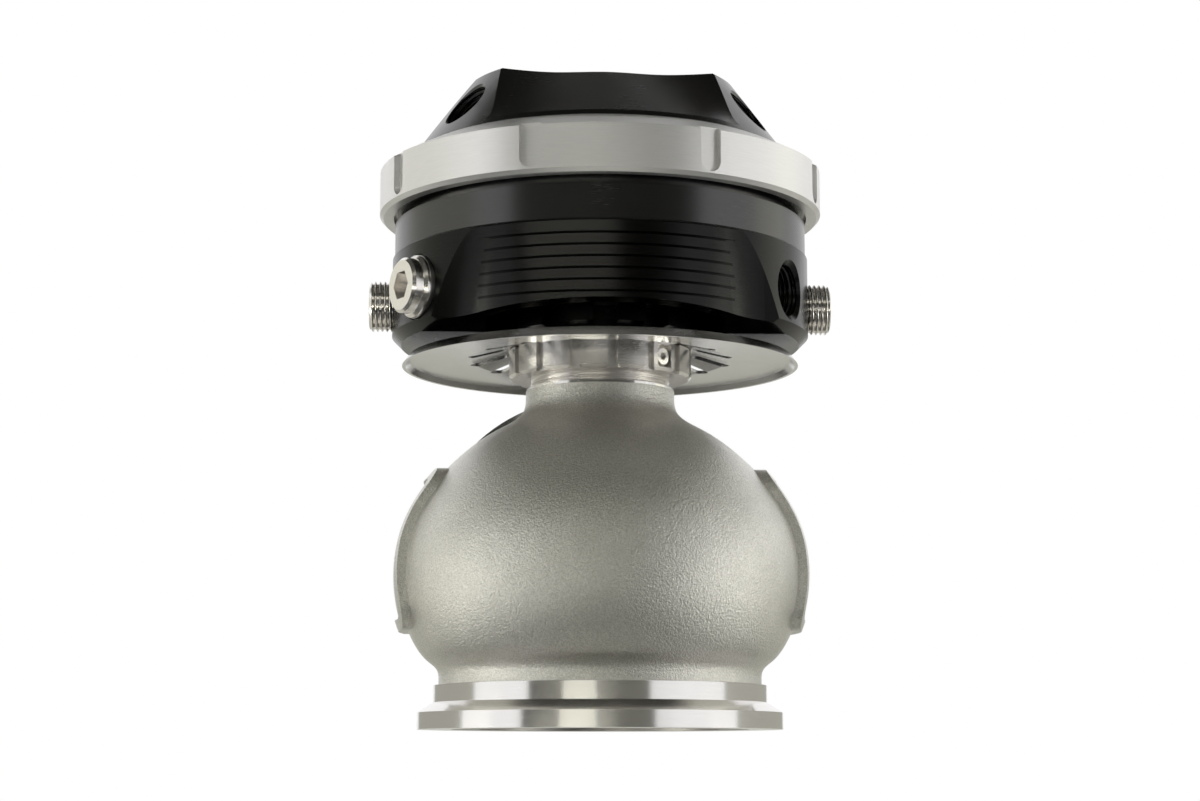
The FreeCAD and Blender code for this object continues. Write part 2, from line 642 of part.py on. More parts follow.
def fitting_cut(clock):
    """A blind threaded hole for a coolant stub."""
    hole = rod(FITTING_SHANK_R + THREAD_CLEARANCE, LOBE_R - FITTING_SHANK_LENGTH, LOBE_R + 1)
    return radial(hole, clock, PORT_Z)


def lower_housing():
    """Actuator base: lobes, tapered grooved panels, cooling lugs, ports and the boss."""
    outline = [(0, HOUSING_BOTTOM_Z), (LOBE_R - LOBE_CHAMFER, HOUSING_BOTTOM_Z),
               (LOBE_R, HOUSING_BOTTOM_Z + LOBE_CHAMFER), (LOBE_R, LOBE_TOP_Z),
               (RING_R, LOBE_TOP_Z + RING_STEP), (RING_R, RING_TOP_Z), (RELIEF_R, RING_TOP_Z),
               (RELIEF_R, RELIEF_TOP_Z), (COLLAR_THREAD_R, RELIEF_TOP_Z),
               (COLLAR_THREAD_R, HOUSING_TOP_Z), (0, HOUSING_TOP_Z)]
    housing = turned(outline)
    cutters = []
    for side in (0, 180):
        cutters.append(clocked(panel_cut(), side))
        cutters.append(clocked(undercut(), side))
        cutters.append(clocked(lug_pocket(), side))
        cutters += [clocked(cut, side) for cut in groove_cuts()]
    housing = housing.cut(cutters)
    cavity = tube(CAVITY_R, BOSS_R, CAVITY_FLOOR_Z, HOUSING_TOP_Z + 1)
    above_boss = rod(BOSS_R, BOSS_TOP_Z, HOUSING_TOP_Z + 1)
    spigot_socket = rod(NECK_R + NECK_CLEARANCE, HOUSING_BOTTOM_Z - 1, SPIGOT_SOCKET_TOP_Z)
    stem_hole = rod(STEM_HOLE_R, SPIGOT_SOCKET_TOP_Z - 1, BUSH_BOTTOM_Z + 1)
    bush_hole = rod(BUSH_R, BUSH_BOTTOM_Z, BOSS_TOP_Z + 1)
    circlip_z = BUSH_BOTTOM_Z + BUSH_LENGTH + SEAL_HEIGHT
    circlip_groove = rod(BUSH_R + CIRCLIP_GROOVE, circlip_z, circlip_z + CIRCLIP_HEIGHT)
    bores = [cavity, above_boss, spigot_socket, stem_hole, bush_hole, circlip_groove]
    bores += [port_cut(clock) for clock in (PORT_ANGLE, -PORT_ANGLE)]
    bores += [fitting_cut(clock) for clock in (90, -90)]
    seat_r = LOBE_R * math.cos(math.asin(SPOTFACE_R / LOBE_R))
    bores.append(radial(rod(SPOTFACE_R, seat_r, LOBE_R + 1), -PORT_ANGLE, PORT_Z))
    return housing.cut(bores)


def plug_seat_radius():
    """Distance from the axis of the flat on which the plug's washer lies."""
    return LOBE_R * math.cos(math.asin(SPOTFACE_R / LOBE_R))


def port_plug():
    """Hex-socket plug with a stepped flange."""
    seat_r = plug_seat_radius() + WASHER_THICKNESS
    shank_r = PORT_R - THREAD_CLEARANCE
    step_r = seat_r + PLUG_FLANGE_LENGTH
    top_r = step_r + PLUG_HEAD_LENGTH
    edge = PLUG_FLANGE_LENGTH / 2
    body = turned([(0, seat_r - PLUG_SHANK_LENGTH), (shank_r, seat_r - PLUG_SHANK_LENGTH),
                   (shank_r, seat_r), (PLUG_FLANGE_R, seat_r), (PLUG_FLANGE_R, step_r - edge),
                   (PLUG_FLANGE_R - edge, step_r), (PLUG_HEAD_R, step_r),
                   (PLUG_HEAD_R, top_r - edge), (PLUG_HEAD_R - edge, top_r), (0, top_r)])
    socket = hexagon_prism(PLUG_SOCKET_R * math.sqrt(3), top_r - PLUG_SOCKET_DEPTH, BIG)
    return radial(body.cut(socket), -PORT_ANGLE, PORT_Z)


def port_plug_washer():
    """Sealing washer under the plug."""
    seat_r = plug_seat_radius()
    ring = tube(WASHER_R, PORT_R, seat_r, seat_r + WASHER_THICKNESS)
    return radial(ring, -PORT_ANGLE, PORT_Z)


def coolant_fitting(clock):
    """Threaded stub with a through bore."""
    inner_r = LOBE_R - FITTING_SHANK_LENGTH
    shoulder_r = LOBE_R + FITTING_CHAMFER / 4
    outline = [(FITTING_BORE_R, inner_r), (FITTING_SHANK_R, inner_r),
               (FITTING_SHANK_R, shoulder_r), (FITTING_R, shoulder_r),
               (FITTING_R, FITTING_END_R - FITTING_CHAMFER),
               (FITTING_R - FITTING_CHAMFER, FITTING_END_R), (FITTING_BORE_R, FITTING_END_R)]
    return radial(turned(outline), clock, PORT_Z)


def stem_bush():
    """Bush in the housing boss."""
    return tube(BUSH_R, STEM_R + RUNNING_CLEARANCE, BUSH_BOTTOM_Z, BUSH_BOTTOM_Z + BUSH_LENGTH)


def stem_seal():
    """Seal ring above the bush."""
    bottom_z = BUSH_BOTTOM_Z + BUSH_LENGTH
    return tube(BUSH_R, STEM_R + SEAL_CLEARANCE, bottom_z, bottom_z + SEAL_HEIGHT)


def seal_circlip():
    """Open ring sprung into its groove above the seal."""
    bottom_z = BUSH_BOTTOM_Z + BUSH_LENGTH + SEAL_HEIGHT
    ring = tube(BUSH_R + CIRCLIP_GROOVE - THREAD_CLEARANCE, CIRCLIP_BORE_R, bottom_z,
                bottom_z + CIRCLIP_HEIGHT)
    gap = Part.makeBox(CIRCLIP_GAP, BIG, BIG, Vector(-CIRCLIP_GAP / 2, -BIG, 0))
    return ring.cut(gap)


def piston():
    """Plate under the diaphragm, with a hub that sits on the stem's shoulder."""
    bore_r = STEM_TIP_R + THREAD_CLEARANCE
    rim_z = PISTON_BOTTOM_Z + PISTON_THICKNESS / 2
    return turned([(bore_r, PISTON_BOTTOM_Z), (PISTON_HUB_R, PISTON_BOTTOM_Z),
                   (PISTON_HUB_R + 1, rim_z), (PISTON_R - 1, rim_z),
                   (PISTON_R, rim_z + 1), (PISTON_R, PISTON_TOP_Z), (bore_r, PISTON_TOP_Z)])


def diaphragm():
    """Moulded diaphragm: flat middle, sloping wall and clamped rim."""
    bore_r = STEM_TIP_R + THREAD_CLEARANCE
    top = PISTON_TOP_Z + DIAPHRAGM_THICKNESS
    thickness = DIAPHRAGM_THICKNESS
    return turned([(bore_r, PISTON_TOP_Z), (PISTON_R, PISTON_TOP_Z),
                   (DIAPHRAGM_SLOPE_R + thickness, HOUSING_TOP_Z),
                   (DIAPHRAGM_OUTER_R, HOUSING_TOP_Z), (DIAPHRAGM_OUTER_R, CAP_BOTTOM_Z),
                   (DIAPHRAGM_SLOPE_R, CAP_BOTTOM_Z), (PISTON_R - thickness, top), (bore_r, top)])


def spring_plate():
    """Plate above the diaphragm, with steps that centre the springs."""
    bore_r = STEM_TIP_R + THREAD_CLEARANCE
    step_z = PLATE_TOP_Z + SPRING_LOCATOR_HEIGHT
    land_r = STEM_WASHER_R + 1.5
    plate_r = PISTON_R - DIAPHRAGM_THICKNESS - SPRING_PLATE_STEP
    chamfer = SPRING_PLATE_THICKNESS / 3
    plate = turned([(bore_r, PLATE_BOTTOM_Z), (plate_r - chamfer, PLATE_BOTTOM_Z),
                    (plate_r, PLATE_BOTTOM_Z + chamfer), (plate_r, PLATE_TOP_Z),
                    (bore_r, PLATE_TOP_Z)])
    outer_r = INNER_SPRING_R + INNER_WIRE_R + SPRING_END_GAP
    locator = tube(SPRING_LOCATOR_R, outer_r, PLATE_TOP_Z, step_z)
    inner = tube(INNER_SPRING_R - INNER_WIRE_R - SPRING_END_GAP, land_r, PLATE_TOP_Z, step_z)
    return plate.fuse([locator, inner]).removeSplitter()


def stem_washer():
    """Washer under the stem nut."""
    return tube(STEM_WASHER_R, STEM_TIP_R + THREAD_CLEARANCE, PLATE_TOP_Z,
                PLATE_TOP_Z + STEM_WASHER_THICKNESS)


def stem_nut():
    """Hexagon nut on the stem tip."""
    bottom_z = PLATE_TOP_Z + STEM_WASHER_THICKNESS
    blank = hexagon_prism(STEM_NUT_ACROSS_FLATS, bottom_z, STEM_NUT_HEIGHT)
    hole = rod(STEM_TIP_R + THREAD_CLEARANCE, bottom_z - 1, bottom_z + STEM_NUT_HEIGHT + 1)
    return blank.cut(hole)


def wire_section(coil_r, wire_r, turn, height):
    """Corners of a many-sided wire section at a turn of the coil."""
    outwards = Vector(math.cos(turn), math.sin(turn), 0)
    corners = []
    for side in range(WIRE_SIDE_COUNT):
        angle = 2 * math.pi * side / WIRE_SIDE_COUNT
        offset = outwards * math.cos(angle) + Vector(0, 0, math.sin(angle))
        corners.append(outwards * coil_r + Vector(0, 0, height) + offset * wire_r)
    return corners


def spring(coil_r, wire_r, turn_count):
    """A helical spring between the spring plate and the cap, with a many-sided wire."""
    bottom_z = PLATE_TOP_Z + SPRING_END_GAP + wire_r
    top_z = CAP_CAVITY_TOP_Z - SPRING_END_GAP - wire_r
    steps = round(turn_count * COIL_STEP_COUNT)
    sections = []
    for step in range(steps + 1):
        share = step / steps
        height = bottom_z + share * (top_z - bottom_z)
        sections.append(wire_section(coil_r, wire_r, 2 * math.pi * turn_count * share, height))
    faces = []
    for ends in (sections[0], sections[-1]):
        faces.append(Part.Face(Part.makePolygon(ends + ends[:1])))
    for near, far in zip(sections, sections[1:]):
        for side in range(WIRE_SIDE_COUNT):
            after = (side + 1) % WIRE_SIDE_COUNT
            for corners in ((near[side], near[after], far[side]),
                            (near[after], far[after], far[side])):
                faces.append(Part.Face(Part.makePolygon(list(corners) + [corners[0]])))
    coil = Part.Solid(Part.Shell(faces))
    if coil.Volume < 0:
        coil.reverse()
    return coil


def locking_collar():
    """Threaded ring with a lip over the cap and spanner slots outside."""
    thread_r = COLLAR_THREAD_R + THREAD_CLEARANCE
    lip_z = CAP_FOOT_TOP_Z
    chamfer = COLLAR_BOTTOM_CHAMFER
    blank = turned([(COLLAR_MOUTH_R, COLLAR_BOTTOM_Z), (COLLAR_R - chamfer, COLLAR_BOTTOM_Z),
                    (COLLAR_R, COLLAR_BOTTOM_Z + chamfer), (COLLAR_R, COLLAR_SHOULDER_Z),
                    (COLLAR_TOP_R, COLLAR_TOP_Z), (COLLAR_TOP_R, lip_z), (thread_r, lip_z),
                    (thread_r, COLLAR_MOUTH_Z), (COLLAR_MOUTH_R, COLLAR_MOUTH_Z)])
    half = COLLAR_SLOT_WIDTH / 2
    floor_r = COLLAR_R - COLLAR_SLOT_DEPTH
    slot = Part.makeBox(COLLAR_SLOT_WIDTH, BIG, BIG,
                        Vector(-half, -floor_r - BIG, COLLAR_SLOT_BOTTOM_Z + half))
    end = Part.makeCylinder(half, BIG, Vector(0, -floor_r, COLLAR_SLOT_BOTTOM_Z + half),
                            Vector(0, -1, 0))
    cutter = slot.fuse(end)
    return blank.cut(around(cutter, COLLAR_SLOT_COUNT, COLLAR_SLOT_ANGLE))


def cap_cone_radius(height):
    """Radius of the cap's cone at a height."""
    share = (height - CAP_CONE_Z) / (CAP_TOP_Z - CAP_CONE_Z)
    return CAP_NECK_R + share * (CAP_TOP_R - CAP_NECK_R)


def scoop_cut():
    """One scooped face of the cap, ruled from a wavy top edge to an arc at the foot."""
    half_width = CAP_TOP_R * math.sin(math.radians(CAP_SCOOP_HALF_ANGLE))
    chord = CAP_TOP_R * math.cos(math.radians(CAP_SCOOP_HALF_ANGLE))
    shares = (-1.0, -0.85, -0.5, 0.0, 0.5, 0.85, 1.0)
    wave = (0.0, 0.45, 1.0, CAP_SCOOP_BELLY / CAP_SCOOP_WAVE, 1.0, 0.45, 0.0)
    spread = CAP_TOP_R / 4
    top_points = [Vector(share * half_width, -chord + dip * CAP_SCOOP_WAVE, CAP_TOP_Z)
                  for share, dip in zip(shares, wave)]
    top_points = ([top_points[0] + Vector(-spread, -spread / 3, 0)] + top_points
                  + [top_points[-1] + Vector(spread, -spread / 3, 0)])
    foot_r = cap_cone_radius(CAP_SCOOP_FOOT_Z)
    foot_points = [plan_point(foot_r, share * CAP_SCOOP_FOOT_ANGLE, CAP_SCOOP_FOOT_Z)
                   for share in shares]
    tail = math.radians(CAP_SCOOP_FOOT_ANGLE)
    outwards = Vector(math.cos(tail), math.sin(tail) / 2, 0) * spread
    foot_points = ([foot_points[0] + Vector(-outwards.x, outwards.y, 0)] + foot_points
                   + [foot_points[-1] + outwards])
    wires = []
    for points in (top_points, foot_points):
        curve = Part.BSplineCurve()
        curve.interpolate(Points=points)
        height = points[0].z
        far = [points[-1], Vector(points[-1].x, -BIG, height), Vector(points[0].x, -BIG, height),
               points[0]]
        edges = [curve.toShape()] + [Part.makeLine(a, b) for a, b in zip(far, far[1:])]
        wires.append(Part.Wire(edges))
    return Part.makeLoft(wires, True, True)


def cap_port_cut():
    """A threaded port square to the cone face at the front."""
    slope = math.atan2(CAP_TOP_Z - CAP_CONE_Z, CAP_NECK_R - CAP_TOP_R)
    outward = Vector(0, -math.sin(slope), math.cos(slope))
    mouth = Vector(0, -cap_cone_radius(CAP_PORT_Z), CAP_PORT_Z)
    depth = (CAP_NECK_R - CAP_CAVITY_R) * 2 + CAP_PORT_R
    bore = Part.makeCylinder(CAP_PORT_R, depth + 2, mouth - outward * depth, outward)
    rim = CAP_PORT_MOUTH_R - CAP_PORT_R
    chamfer = Part.makeCone(CAP_PORT_R, CAP_PORT_MOUTH_R + 1, rim + 1, mouth - outward * rim,
                            outward)
    return bore.fuse(chamfer)


def top_cap():
    """Coned cap with three scoops, three angled ports and the spring space inside."""
    outline = [(0, CAP_BOTTOM_Z), (CAP_FOOT_R, CAP_BOTTOM_Z), (CAP_FOOT_R, CAP_FOOT_TOP_Z),
               (CAP_NECK_R, CAP_FOOT_TOP_Z), (CAP_NECK_R, CAP_CONE_Z),
               (CAP_TOP_R + CAP_TOP_CHAMFER / 2, CAP_TOP_Z - CAP_TOP_CHAMFER),
               (CAP_TOP_R - CAP_TOP_CHAMFER, CAP_TOP_Z), (0, CAP_TOP_Z)]
    blank = turned(outline)
    cavity = turned([(0, CAP_BOTTOM_Z - 1), (CAP_CAVITY_R, CAP_BOTTOM_Z - 1),
                     (CAP_CAVITY_R, CAP_CAVITY_SHOULDER_Z), (CAP_CAVITY_TOP_R, CAP_CAVITY_TOP_Z),
                     (0, CAP_CAVITY_TOP_Z)])
    cutters = around(scoop_cut(), CAP_SCOOP_COUNT)
    half_pitch = 180.0 / CAP_SCOOP_COUNT
    cutters += around(cap_port_cut(), CAP_SCOOP_COUNT, half_pitch)
    return clocked(blank.cut(cutters + [cavity]), CAP_ANGLE)


def pieces():
    """Every piece by node name."""
    return {
        "body_casting": body_casting(),
        "valve_seat": valve_seat(),
        "valve_guide": valve_guide(),
        "lock_nut": lock_nut(),
        "lock_nut_screw": lock_nut_screw(),
        "heat_shield": heat_shield(),
        "lower_housing": lower_housing(),
        "coolant_fitting_left": coolant_fitting(-90),
        "coolant_fitting_right": coolant_fitting(90),
        "port_plug": port_plug(),
        "port_plug_washer": port_plug_washer(),
        "stem_bush": stem_bush(),
        "stem_seal": stem_seal(),
        "seal_circlip": seal_circlip(),
        "piston": piston(),
        "diaphragm": diaphragm(),
        "spring_plate": spring_plate(),
        "stem_washer": stem_washer(),
        "stem_nut": stem_nut(),
        "valve": valve(),
        "spring_outer": spring(OUTER_SPRING_R, OUTER_WIRE_R, OUTER_TURN_COUNT),
        "spring_inner": spring(INNER_SPRING_R, INNER_WIRE_R, INNER_TURN_COUNT),
        "locking_collar": locking_collar(),
        "top_cap": top_cap(),
    }


os.makedirs("parts", exist_ok=True)
for name, shape in pieces().items():
    shape.exportStep("parts/" + name + ".step")
    print(name, "valid" if shape.isValid() else "NOT VALID", len(shape.Solids), "solids",
          round(shape.Volume / 1000.0, 2), "cm3")
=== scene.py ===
# %% [markdown]
# # Dressing an external turbo wastegate
# A wastegate lets exhaust gas past a turbine once the boost pressure lifts its valve. The solid
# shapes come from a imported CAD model, which this script loads as a fixed frame. What is left for
# Blender is what the eye reads as real: a blasted casting, turned steel, black anodising, satin
# aluminium, threads, and the room that the metal mirrors. Each of them has its own cells.

# %% Load the frame
import math

import bmesh
import bpy
from mathutils import Matrix, Vector


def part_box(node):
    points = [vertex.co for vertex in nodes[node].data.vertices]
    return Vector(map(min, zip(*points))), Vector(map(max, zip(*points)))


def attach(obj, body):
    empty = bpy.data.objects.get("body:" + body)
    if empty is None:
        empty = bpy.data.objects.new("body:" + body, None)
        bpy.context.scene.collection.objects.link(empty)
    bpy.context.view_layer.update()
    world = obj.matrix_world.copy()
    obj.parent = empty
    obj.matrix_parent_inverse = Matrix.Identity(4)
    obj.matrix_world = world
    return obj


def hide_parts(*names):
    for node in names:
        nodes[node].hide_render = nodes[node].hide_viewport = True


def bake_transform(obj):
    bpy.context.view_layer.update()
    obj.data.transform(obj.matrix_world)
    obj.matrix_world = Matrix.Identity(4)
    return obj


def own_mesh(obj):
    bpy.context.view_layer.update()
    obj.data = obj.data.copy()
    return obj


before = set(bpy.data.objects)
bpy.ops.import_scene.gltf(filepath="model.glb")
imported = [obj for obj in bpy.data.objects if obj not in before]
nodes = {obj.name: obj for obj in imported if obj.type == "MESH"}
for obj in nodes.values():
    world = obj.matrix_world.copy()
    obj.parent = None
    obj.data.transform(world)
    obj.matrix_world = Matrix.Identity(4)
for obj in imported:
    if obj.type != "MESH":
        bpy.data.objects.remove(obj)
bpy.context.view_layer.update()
MM = 0.001
print("pieces in the frame:", len(nodes))

# %% [markdown]
# ## Camera
# The photograph was taken with a long lens from a little below the object, looking up. On it the
# object stands turned by a few degrees. Turning the object here would move its fixed pieces, so the
# camera walks round it by that angle instead.

# %% Camera
CAMERA_DISTANCE = 561.6 * MM
CAMERA_HEIGHT = -7.1 * MM
CAMERA_TILT = 8.51
CAMERA_TURN = 2.5
LENS = 72.2
SENSOR_WIDTH = 36
NEAREST_SEEN = 0.01


def add_object(name, data):
    """Put a mesh, a lamp or a camera into the scene."""
    made = bpy.data.objects.new(name, data)
    bpy.context.scene.collection.objects.link(made)
    return made


def place_camera():
    """A camera at the photograph's viewing angle."""
    data = bpy.data.cameras.new("camera")
    data.lens = LENS
    data.sensor_width = SENSOR_WIDTH
    data.clip_start = NEAREST_SEEN
    made = add_object("camera", data)
    turn = math.radians(CAMERA_TURN)
    made.location = (-CAMERA_DISTANCE * math.sin(turn), -CAMERA_DISTANCE * math.cos(turn),
                     CAMERA_HEIGHT)
    made.rotation_euler = (math.radians(90 + CAMERA_TILT), 0, -turn)
    bpy.context.scene.camera = made
    return made


camera = place_camera()
print("camera at", tuple(round(v, 4) for v in camera.location))

# %% [markdown]
# ## Shader maths as plain expressions
# A material is a graph of nodes. The nodes could be made and linked one by one, but then a mask is
# hard to follow. A small class wraps a socket instead and turns the usual operators into Math
# nodes, so a mask reads as an expression.


# %% Wires
class Wire:
    """One output socket of a graph, with the usual operators."""

    def __init__(self, graph, socket):
        self.graph = graph
        self.socket = socket

    def math(self, operation, other=None):
        """A Math node on this wire, and on a number or a second wire where it takes two."""
        values = {0: self} if other is None else {0: self, 1: other}
        return self.graph.node("ShaderNodeMath", {"operation": operation}, values)

    def __add__(self, other):
        return self.math("ADD", other)

    __radd__ = __add__

    def __mul__(self, other):
        return self.math("MULTIPLY", other)

    __rmul__ = __mul__

    def __sub__(self, other):
        return self.math("SUBTRACT", other)

    def __rsub__(self, other):
        return (self * -1.0) + other

    def __truediv__(self, other):
        return self.math("DIVIDE", other)

    def __gt__(self, other):
        return self.math("GREATER_THAN", other)

    def __lt__(self, other):
        return self.math("LESS_THAN", other)

    def clamp(self):
        """Keep the value between 0 and 1."""
        return self.math("MINIMUM", 1.0).math("MAXIMUM", 0.0)

    def ramp(self, low, high):
        """0 below low, 1 above high, smooth between."""
        return self.graph.node("ShaderNodeMapRange", {"interpolation_type": "SMOOTHSTEP"},
                               {"Value": self, "From Min": low, "From Max": high})


# %% [markdown]
# Every other node comes from one method, which takes the node's kind, its settings and what feeds
# its sockets. The world is such a graph too, so the method stands in a class of its own and a
# material adds the patterns that metal needs.


# %% Graphs
class Graph:
    """A tree of nodes under construction."""

    def __init__(self, tree):
        self.tree = tree

    def plug(self, socket, value):
        """Feed one socket with a wire or a plain value."""
        if isinstance(value, Wire):
            self.tree.links.new(value.socket, socket)
        else:
            socket.default_value = value

    def node(self, kind, settings, values, output=0):
        """Add a node, set its settings, then feed its sockets with values or wires."""
        made = self.tree.nodes.new(kind)
        for key, setting in settings.items():
            setattr(made, key, setting)
        for key, value in values.items():
            self.plug(made.inputs[key], value)
        return Wire(self, made.outputs[output])


class Shader(Graph):
    """A material under construction."""

    def __init__(self, name, **constants):
        self.material = bpy.data.materials.new(name)
        self.material.use_nodes = True
        super().__init__(self.material.node_tree)
        self.principled = self.tree.nodes["Principled BSDF"]
        self.feed(**constants)

    def feed(self, **values):
        """Give the surface's own sockets wires or plain values."""
        for name, value in values.items():
            self.plug(self.principled.inputs[name.replace("_", " ")], value)
        return self.material

    def place(self):
        """The point on the object, in metres, which every pattern is measured from."""
        return self.node("ShaderNodeTexCoord", {}, {}, "Object")

    def split(self, vector):
        """The three parts of a vector."""
        parts = self.node("ShaderNodeSeparateXYZ", {}, {0: vector}).socket.node.outputs
        return [Wire(self, part) for part in parts]

    def join(self, x, y, z):
        """A vector of three parts."""
        return self.node("ShaderNodeCombineXYZ", {}, {0: x, 1: y, 2: z})

    def noise(self, vector, scale, detail=2.0, roughness=0.5):
        """Soft random spots, from 0 to 1."""
        return self.node("ShaderNodeTexNoise", {}, {"Vector": vector, "Scale": scale,
                                                    "Detail": detail, "Roughness": roughness})

    def tool_marks(self, stretch, scale, detail=2.0):
        """Noise that is drawn out across Z, into the rings that a lathe leaves."""
        x, y, z = self.split(self.place())
        return self.noise(self.join(x * stretch, y * stretch, z), scale, detail)

    def mix(self, factor, first, second):
        """Blend two colours, which a Mix node takes at 6 and 7 and gives back at 2."""
        return self.node("ShaderNodeMix", {"data_type": "RGBA"}, {0: factor, 6: first, 7: second},
                         2)

    def bump(self, height, distance, strength=1.0):
        """Relief of the given depth."""
        return self.node("ShaderNodeBump", {}, {"Height": height, "Distance": distance,
                                                "Strength": strength})


def grey(level, warm=0.0):
    """A near-grey colour, a little warm where asked."""
    return (level * (1 + warm), level, level * (1 - warm), 1.0)


def wear(name, material):
    """Give a CAD node one material."""
    slots = nodes[name].data.materials
    slots.clear()
    slots.append(material)


# %% [markdown]
# ## Blasted casting with machined flanges
# The body is one casting. Its skin is blasted to an even grain, but the flanges and the top of the
# neck are turned bright. Two materials would need an edge in the mesh wherever the finish changes.
# One material with a mask made from position needs none, so it covers both. Noise of two sizes
# gives the grain, as tone and as relief.

# %% Casting
FLANGE_TOP = 10.15 * MM
OUTLET_FLANGE_START = 46.85 * MM
NECK_MACHINED = 78.7 * MM
CAST_DARK = (0.55, 0.543, 0.506, 1.0)
CAST_LIGHT = (0.93, 0.918, 0.865, 1.0)
CAST_METALLIC = 0.97
CAST_RELIEF = 0.26 * MM
RING_STRETCH = 0.02
RING_SCALE = 9000.0
COARSE_SCALE = 1900.0
FINE_SCALE = 4400.0
GRAIN_BREAKUP = 0.6
GRAIN_SPREAD = 0.32, 0.68
COARSE_IN_TONE = 0.3
COARSE_IN_RELIEF = 0.6
PATCH_SCALE = 45.0
PATCH_SPREAD = 0.35, 0.7
PATCH_STRENGTH = 0.35
TURNED_TONES = 0.78, 0.87
TURNED_WARMTH = 0.02
TURNED_ROUGHNESS = 0.12
BLASTED_ROUGHNESS = 0.18
GRAIN_ROUGHNESS = 0.05


def weigh(coarse, fine, share):
    """A share of the coarse noise and the rest of the fine noise."""
    return coarse * share + fine * (1.0 - share)


def casting_material():
    """The blasted skin, with turned metal where the mask says so."""
    shader = Shader("blasted_casting")
    place = shader.place()
    y, z = shader.split(place)[1:]
    turned = ((z < FLANGE_TOP) + (z > NECK_MACHINED) + (y > OUTLET_FLANGE_START)).clamp()
    coarse = shader.noise(place, COARSE_SCALE, roughness=GRAIN_BREAKUP)
    fine = shader.noise(place, FINE_SCALE, roughness=GRAIN_BREAKUP)
    patches = shader.noise(place, PATCH_SCALE, detail=4.0, roughness=GRAIN_BREAKUP)
    tone = weigh(coarse, fine, COARSE_IN_TONE).ramp(*GRAIN_SPREAD)
    skin = shader.mix(tone, CAST_DARK, CAST_LIGHT)
    skin = shader.mix(patches.ramp(*PATCH_SPREAD) * PATCH_STRENGTH, skin, CAST_DARK)
    dark, light = [grey(level, TURNED_WARMTH) for level in TURNED_TONES]
    rings = shader.tool_marks(RING_STRETCH, RING_SCALE, detail=1.0)
    bright = shader.mix(rings, dark, light)
    height = weigh(coarse, fine, COARSE_IN_RELIEF) * (1.0 - turned)
    rough = (1.0 - turned) * BLASTED_ROUGHNESS + TURNED_ROUGHNESS + fine * GRAIN_ROUGHNESS
    return shader.feed(
        Base_Color=shader.mix(turned, skin, bright),
        Metallic=turned * (1.0 - CAST_METALLIC) + CAST_METALLIC,
        Roughness=rough,
        Normal=shader.bump(height, CAST_RELIEF))


wear("body_casting", casting_material())
print("casting dressed")

# %% [markdown]
# ## Turned, satin and polished metals
# Most small parts are turned steel or aluminium. Each could have a material written out for it, but
# they differ only in a few numbers, such as tone, gloss and how strongly the tool marks show, so
# one function makes them all.

# %% Plain metals
MARK_STRETCH = 0.05
MARK_SCALE = 5000.0
MARK_DEPTH = 0.01 * MM
MARK_STRENGTH = 0.25
MARK_DARKENS = 0.93
MARK_LIGHTENS = 1.05
SMUDGE_SCALE = 90.0
SMUDGE_ROUGHNESS = 0.08


def metal(name, tone, roughness, warm=0.0, marks=0.04, metallic=1.0):
    """A metal with fine tool marks and a little smudged in its gloss."""
    shader = Shader(name, Metallic=metallic)
    lines = shader.tool_marks(MARK_STRETCH, MARK_SCALE)
    smudge = shader.noise(shader.place(), SMUDGE_SCALE, detail=3.0)
    colour = shader.mix(lines, grey(tone * MARK_DARKENS, warm), grey(tone * MARK_LIGHTENS, warm))
    return shader.feed(Base_Color=colour,
                       Roughness=smudge * SMUDGE_ROUGHNESS + lines * marks + roughness,
                       Normal=shader.bump(lines, MARK_DEPTH, MARK_STRENGTH))


nickel = metal("bright_nickel", tone=0.88, roughness=0.14, warm=0.03)
satin = metal("satin_aluminium", tone=0.76, roughness=0.31, warm=0.01, marks=0.06, metallic=0.84)
polished = metal("polished_sheet", tone=0.62, roughness=0.12, warm=0.005, marks=0.05)
turned_steel = metal("turned_steel", tone=0.76, roughness=0.20, warm=0.03, metallic=0.92)
plain_steel = metal("plain_steel", tone=0.5, roughness=0.3, warm=0.01)
valve_steel = metal("valve_steel", tone=0.42, roughness=0.34, warm=0.03)
spring_steel = metal("spring_steel", tone=0.22, roughness=0.35, warm=0.02)
bronze = metal("bronze", tone=0.42, roughness=0.3, warm=0.28)
plain_aluminium = metal("plain_aluminium", tone=0.55, roughness=0.32)

METALS = {
    "valve_seat": valve_steel, "valve": valve_steel, "valve_guide": bronze, "stem_bush": bronze,
    "lock_nut": turned_steel, "lock_nut_screw": nickel, "heat_shield": polished,
    "locking_collar": satin, "coolant_fitting_left": nickel, "coolant_fitting_right": nickel,
    "port_plug": nickel, "port_plug_washer": plain_steel, "seal_circlip": spring_steel,
    "spring_outer": spring_steel, "spring_inner": spring_steel, "piston": plain_aluminium,
    "spring_plate": plain_aluminium, "stem_washer": plain_steel, "stem_nut": nickel,
}
for node_name, finish in METALS.items():
    wear(node_name, finish)
print("metals on", len(METALS), "pieces")
